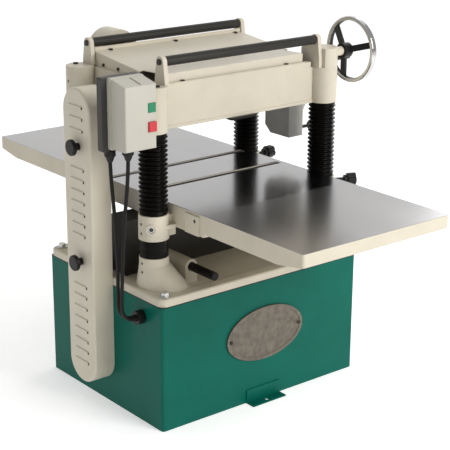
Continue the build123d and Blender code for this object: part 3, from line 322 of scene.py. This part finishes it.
chrome = finish(
    "rim_chrome", (0.60, 0.60, 0.59), rough=0.12, metal=1.0, vary=0.03, patch=20, bump=0.02,
    spread=0.04,
)
plastic = finish(
    "black_moulding", (0.008, 0.0075, 0.007), rough=0.40, vary=0.15, grain=1200, bump=0.12,
    edge=1.2, specular=0.25,
)
gland = finish(
    "gland_moulding", (0.009, 0.009, 0.008), rough=0.36, vary=0.15, bump=0.1, edge=1.0,
    specular=0.25,
)
bellows_rubber = finish(
    "bellows_rubber", (0.0030, 0.0023, 0.0018), rough=0.28, vary=0.2, grain=600, bump=0.15,
    specular=0.10,
)
belt_rubber = finish(
    "belt_rubber", (0.012, 0.011, 0.010), rough=0.7, vary=0.2, grain=800, bump=0.3,
    specular=0.3,
)
lead_rubber = finish(
    "lead_rubber", (0.007, 0.006, 0.005), rough=0.45, vary=0.15, patch=30, grain=900,
    bump=0.12, specular=0.2,
)
plate = finish(
    "plate_metal", (0.17, 0.145, 0.115), rough=0.45, metal=0.55, vary=0.30, patch=55,
    grain=420, bump=0.6, depth=0.0007, edge=0.7,
)
go_green = finish(
    "button_green", (0.0, 0.20, 0.085), rough=0.35, vary=0.06, bump=0.04, edge=0.3, coat=0.1,
)
halt_red = finish(
    "button_red", (0.55, 0.022, 0.030), rough=0.35, vary=0.06, bump=0.04, edge=0.2, coat=0.1,
)
carbide = finish(
    "insert_carbide", (0.50, 0.50, 0.52), rough=0.22, metal=1.0, vary=0.08, patch=90, bump=0.1,
)

# the table and wings are ground on top and painted below
table_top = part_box("table")[1].z
ground_depth = 0.0009
iron_top = two_tone("painted_iron", cream_cast, iron, above(table_top - ground_depth))
wing_top = two_tone("painted_wing", cream_cast, wing_iron, above(table_top - ground_depth))

# the bolts on the base casting are zinc plated and all other screws black
bolt_reach = 0.030
bolt_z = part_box("base_casting")[0].z + bolt_reach
bolt_metal = two_tone("screws_and_bolts", dark_steel, zinc, near_height(bolt_z, bolt_reach))
wheel_finish = two_tone("wheel_black_chrome", plastic, chrome, on_rim)

looks = {
    cream: (
        "belt_guard_cover", "dust_hood", "infeed_cover", "roller_brackets",
        "lift_gear_housing",
    ),
    cream_cast: ("base_casting", "head_casting"),
    green: ("cabinet", "access_panel"),
    iron_top: ("table",),
    wing_top: ("front_wing", "rear_wing"),
    grey: ("gearbox", "motor_housing"),
    black_paint: (
        "belt_guard_back", "lifting_bar_left", "lifting_bar_right", "depth_limiter",
    ),
    shield_paint: ("chip_shield",),
    pan_paint: ("switch_pan",),
    box_paint: ("switch_box",),
    roller_steel: (
        "return_roller_front", "return_roller_rear", "bed_roller_front", "bed_roller_rear",
    ),
    steel: (
        "columns", "infeed_roller", "outfeed_roller", "leadscrew_front_left",
        "leadscrew_front_right", "leadscrew_rear_left", "leadscrew_rear_right",
    ),
    dark_steel: (
        "lift_chain", "feed_chain", "gearbox_output", "cutterhead", "anti_kickback_fingers",
        "pressure_bars", "table_bolts",
    ),
    bolt_metal: ("fixing_screws",),
    drive_iron: ("motor_rotor", "cutterhead_pulley", "bearing_blocks"),
    plastic: (
        "handwheel_grip", "guard_knob_upper", "guard_knob_lower", "feed_speed_knob",
        "table_lock_knob_front", "table_lock_knob_rear",
    ),
    gland: ("cable_glands",),
    belt_rubber: ("v_belts",),
    plate: ("nameplate",),
    go_green: ("start_button",),
    halt_red: ("stop_button",),
    carbide: ("cutterhead_inserts",),
    wheel_finish: ("handwheel",),
    bellows_rubber: ("upper_bellows", "lower_bellows"),
    lead_rubber: ("motor_lead", "control_lead"),
}
for look, names in looks.items():
    for name in names:
        for material_slot in nodes[name].material_slots:
            material_slot.material = look


# ---- pieces --------------------------------------------------------------
def add(name, data):
    """An object with this data, in the scene."""
    ob = bpy.data.objects.new(name, data)
    bpy.context.scene.collection.objects.link(ob)
    return ob


def piece(name, bm, look, body="frame", smooth=True):
    """A mesh object from bm that rides on a body, or on none if body is None."""
    mesh = bpy.data.meshes.new(name)
    bmesh.ops.recalc_face_normals(bm, faces=bm.faces)
    bm.to_mesh(mesh)
    bm.free()
    for face in mesh.polygons:
        face.use_smooth = smooth
    mesh.materials.append(look)
    ob = add(name, mesh)
    if body:
        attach(ob, body)
    return ob


def join_rings(bm, rings):
    """Faces from each ring of vertices to the next, and from the last to the first."""
    for near, far in zip(rings, rings[1:] + rings[:1]):
        for i in range(len(near)):
            k = (i + 1) % len(near)
            bm.faces.new((near[i], far[i], far[k], near[k]))


def circle_points(radius, steps):
    """Evenly spaced (x, y) points on a circle about the origin."""
    angles = [2 * math.pi * i / steps for i in range(steps)]
    return [(radius * math.cos(a), radius * math.sin(a)) for a in angles]


posts = [(sx * post_x, sy * post_y) for sx in (-1, 1) for sy in (-1, 1)]


def sleeves_on_posts(profile, steps=72):
    """A mesh of the closed (radius, z) profile revolved about each column's axis."""
    bm = bmesh.new()
    for px, py in posts:
        rings = []
        for cos, sin in circle_points(1, steps):
            rings.append([bm.verts.new((px + r * cos, py + r * sin, z)) for r, z in profile])
        join_rings(bm, rings)
    return bm


sleeve_bore = 0.0315

# the pleated sleeves above the table, with a plain cuff at each end
pleats = 17
pleat_depth = 0.0068
pleat_shape = (  # share of the pitch, share of the depth
    (0.12, 0.0), (0.30, 0.62), (0.42, 0.93), (0.5, 1.0), (0.58, 0.93), (0.70, 0.62), (0.88, 0.0),
)
cuff = 0.006
low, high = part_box("upper_bellows")
outer = high.x - post_x
cuff_radius = outer - 0.002
pleat_pitch = (high.z - low.z - 2 * cuff) / pleats
profile = [(sleeve_bore, low.z), (cuff_radius, low.z), (cuff_radius, low.z + cuff)]
for i in range(pleats):
    z = low.z + cuff + i * pleat_pitch
    for part, reach in pleat_shape:
        profile.append((outer - pleat_depth + pleat_depth * reach, z + part * pleat_pitch))
profile += [(cuff_radius, high.z - cuff), (cuff_radius, high.z), (sleeve_bore, high.z)]
sleeves = piece("pleated_bellows", sleeves_on_posts(profile), bellows_rubber)
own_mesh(sleeves)
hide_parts("upper_bellows")

# the smooth sleeves below the table, with two slight swells and a small chamfer at each end
bands = 12
swell = 0.0005
chamfer, chamfer_rise = 0.001, 0.002
low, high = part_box("lower_bellows")
outer = high.x - post_x
profile = [(sleeve_bore, low.z), (outer - chamfer, low.z), (outer, low.z + chamfer_rise)]
for i in range(1, bands):
    z = low.z + chamfer_rise + (high.z - low.z - 2 * chamfer_rise) * i / bands
    profile.append((outer - swell * (1 + math.cos(2 * math.pi * i * 2 / bands)), z))
profile += [(outer, high.z - chamfer_rise), (outer - chamfer, high.z), (sleeve_bore, high.z)]
sleeves = piece(
    "lower_sleeves", sleeves_on_posts(profile), bellows_rubber, body=None
)
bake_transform(sleeves)
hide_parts("lower_bellows")


def rounded_loop(half_x, half_y, radius, steps=6):
    """The points of a rounded rectangle about the origin."""
    points = []
    for i, (sx, sy) in enumerate(((1, 1), (-1, 1), (-1, -1), (1, -1))):
        for j in range(steps + 1):
            a = math.radians(90 * i + 90 * j / steps)
            x = sx * (half_x - radius) + radius * math.cos(a)
            y = sy * (half_y - radius) + radius * math.sin(a)
            points.append((x, y))
    return points


# the dark gasket line round the cabinet's top, just under the base casting
gasket_proud = 0.0004
gasket_width = 0.006
gasket_corner = 0.0084
gasket_bottom, gasket_top = -0.0028, -0.0004  # from the cabinet's top
cabinet_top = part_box("cabinet")[1].z
casting_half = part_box("base_casting")[1]
bm = bmesh.new()
rings = []
for inset, z in (
    (0, gasket_bottom), (0, gasket_top), (gasket_width, gasket_top), (gasket_width, gasket_bottom)
):
    loop = rounded_loop(
        casting_half.x + gasket_proud - inset,
        casting_half.y + gasket_proud - inset,
        gasket_corner - inset * 0.5,
    )
    rings.append([bm.verts.new((x, y, cabinet_top + z)) for x, y in loop])
join_rings(bm, rings)
piece("base_gasket", bm, plastic, smooth=False)


def bar(low, high, bevel):
    """A mesh of a box from its low to its high corner, with its edges bevelled."""
    bm = bmesh.new()
    made = bmesh.ops.create_cube(bm, size=1.0)["verts"]
    middle = [(a + b) / 2 for a, b in zip(low, high)]
    size = [b - a for a, b in zip(low, high)]
    for vert in made:
        vert.co = Vector([m + c * s for m, c, s in zip(middle, vert.co, size)])
    edges = list({e for v in made for e in v.link_edges})
    bmesh.ops.bevel(bm, geom=edges, offset=bevel, segments=2, affect="EDGES")
    return bm


# a folded lip along the hood's rear edge, by the rear return roller
lip_half_width = 0.2575
lip_thickness = 0.002
lip_bottom, lip_top = 0.9591, 0.9698
lip_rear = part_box("return_roller_rear")[0].y + 0.0005
lip = bar(
    (-lip_half_width, lip_rear - lip_thickness, lip_bottom),
    (lip_half_width, lip_rear, lip_top),
    bevel=0.0006,
)
piece("hood_rear_lip", lip, cream, smooth=False)

# a washer and a socket screw in the boss on each table collar
collar_z = 0.549
bm_washers, bm_screws = bmesh.new(), bmesh.new()
fittings = (  # bore, outer radius, distance from the column's axis, thickness
    (bm_washers, 0.0050, 0.0086, 0.0392, 0.0018),
    (bm_screws, 0.0022, 0.0049, 0.0391, 0.0034),
)
for px, py in posts:
    out = Vector((px / abs(px), py / abs(py), 0)).normalized()
    turn_out = out.to_track_quat("Z", "Y").to_matrix().to_4x4()
    for bm, bore, rim, reach, depth in fittings:
        matrix = Matrix.Translation(Vector((px, py, collar_z)) + out * reach) @ turn_out
        outline = (
            (bore, 0),
            (rim, 0),
            (rim, depth * 0.75),
            (rim - 0.0005, depth),
            (bore + 0.0004, depth),
            (bore, depth * 0.8),
        )
        rings = [
            [bm.verts.new(matrix @ Vector((x, y, h))) for x, y in circle_points(r, 32)]
            for r, h in outline
        ]
        join_rings(bm, rings)
piece("collar_washers", bm_washers, zinc, body="table", smooth=False)
piece("collar_screws", bm_screws, dark_steel, body="table", smooth=False)


# the two leads from the switch box to the cabinet, by the points of part.py in millimetres
def lead(name, points):
    """A lead on a smooth curve, which replaces its CAD node."""
    curve = bpy.data.curves.new(name, "CURVE")
    curve.dimensions = "3D"
    curve.bevel_depth = lead_radius
    curve.bevel_resolution = 6
    curve.resolution_u = 16
    spline = curve.splines.new("NURBS")
    spline.points.add(len(points) - 1)
    for point, co in zip(spline.points, points):
        point.co = (*[c / 1000 for c in co], 1)
    spline.order_u = 3
    spline.use_endpoint_u = True
    curve.materials.append(lead_rubber)
    ob = add(name + "_flex", curve)
    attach(ob, "frame")
    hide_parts(name)


lead("motor_lead", [
    (-409, -215, 757),
    (-409.5, -214, 712),
    (-412, -206, 640),
    (-416, -200.5, 560),
    (-419, -197, 480),
    (-421.5, -195, 400),
    (-421.6, -192.6, 368),
    (-420.5, -191, 341),
    (-409, -190, 320),
    (-388, -190, 308),
    (-361, -190, 308),
])
lead("control_lead", [
    (-432, -168, 747),
    (-431, -169, 705),
    (-427.5, -173, 632),
    (-424, -177, 556),
    (-421.5, -178.5, 478),
    (-422.5, -178, 400),
    (-422, -176.9, 368),
    (-420.5, -176.2, 341),
    (-409, -176, 320),
    (-388, -176, 308),
    (-361, -176, 308),
])


# ---- stage, light and camera --------------------------------------------
def stage_material():
    """Pale paper that glows a little, so that it reads as white."""
    m = bpy.data.materials.new("floor_paper")
    m.use_nodes = True
    nt = m.node_tree
    shader = nt.nodes["Principled BSDF"]
    patches = noise(nt, place(nt), 1.5, 2)
    tone = ramp(nt, patches, 0.3, 0.7, (0.88, 0.88, 0.88), (0.92, 0.92, 0.92))
    nt.links.new(tone, shader.inputs["Base Color"])
    shader.inputs["Roughness"].default_value = 0.9
    shader.inputs["Emission Color"].default_value = (1.0, 1.0, 1.0, 1)
    shader.inputs["Emission Strength"].default_value = 0.4
    return m


# a floor that curves up into a wall behind the machine, square to the camera
floor_front, floor_rear = -9, 4.0
curve_radius = 2.0
wall_top = 9.0
half_width = 12
curve_angles = [math.radians(d) for d in range(10, 91, 10)]
sweep = [(floor_front, 0.0), (floor_rear, 0.0)]
for a in curve_angles:
    y = floor_rear + curve_radius * math.sin(a)
    sweep.append((y, curve_radius - curve_radius * math.cos(a)))
sweep.append((floor_rear + curve_radius, wall_top))
turn = Matrix.Rotation(math.radians(-39.0), 3, "Z")
bm = bmesh.new()
left = [bm.verts.new(turn @ Vector((-half_width, y, z))) for y, z in sweep]
right = [bm.verts.new(turn @ Vector((half_width, y, z))) for y, z in sweep]
for i in range(len(sweep) - 1):
    bm.faces.new((left[i], right[i], right[i + 1], left[i + 1]))
mesh = bpy.data.meshes.new("backdrop")
bm.to_mesh(mesh)
bm.free()
for face in mesh.polygons:
    face.use_smooth = True
mesh.materials.append(stage_material())
add("backdrop", mesh)


def softbox(name, where, target, size, power):
    """A square area light at where, facing target."""
    data = bpy.data.lights.new(name, "AREA")
    data.shape = "RECTANGLE"
    data.size = size
    data.size_y = size
    data.energy = power
    ob = add(name, data)
    ob.location = where
    ob.rotation_euler = (Vector(target) - Vector(where)).to_track_quat("-Z", "Y").to_euler()


softbox("key", (1.0, -3.8, 2.4), (0, 0, 0.6), 2.0, 120)
softbox("fill", (-4.2, -0.6, 1.8), (0, 0, 0.6), 2.6, 4)
softbox("top", (0.6, 0.8, 4.2), (0, 0, 0.6), 3.2, 18)
softbox("rim", (3.4, 1.0, 2.2), (0, 0, 0.7), 2.0, 25)

world = bpy.data.worlds.new("studio")
bpy.context.scene.world = world
world.use_nodes = True
background = world.node_tree.nodes["Background"]
background.inputs["Color"].default_value = (1.0, 1.0, 1.0, 1)
background.inputs["Strength"].default_value = 0.42

# the camera, solved from the photograph's edges
camera = bpy.data.cameras.new("camera")
camera.lens = 105.67
camera.sensor_width = 36.0
camera.clip_end = 50
yaw, pitch, roll = math.radians(-39.05), math.radians(18.22), math.radians(0.38)
distance = 3.7358
target = Vector((-0.00288, -0.10295, 0.47315))
toward = Vector((
    -math.sin(yaw) * math.cos(pitch), math.cos(yaw) * math.cos(pitch), -math.sin(pitch)
))
level = Vector((math.cos(yaw), math.sin(yaw), 0))
side = level * math.cos(roll) + level.cross(toward) * math.sin(roll)
basis = Matrix((side, side.cross(toward), -toward)).transposed()
view = add("camera", camera)
view.matrix_world = Matrix.Translation(target - toward * distance) @ basis.to_4x4()
bpy.context.scene.camera = view
bpy.context.scene.view_settings.view_transform = "Standard"
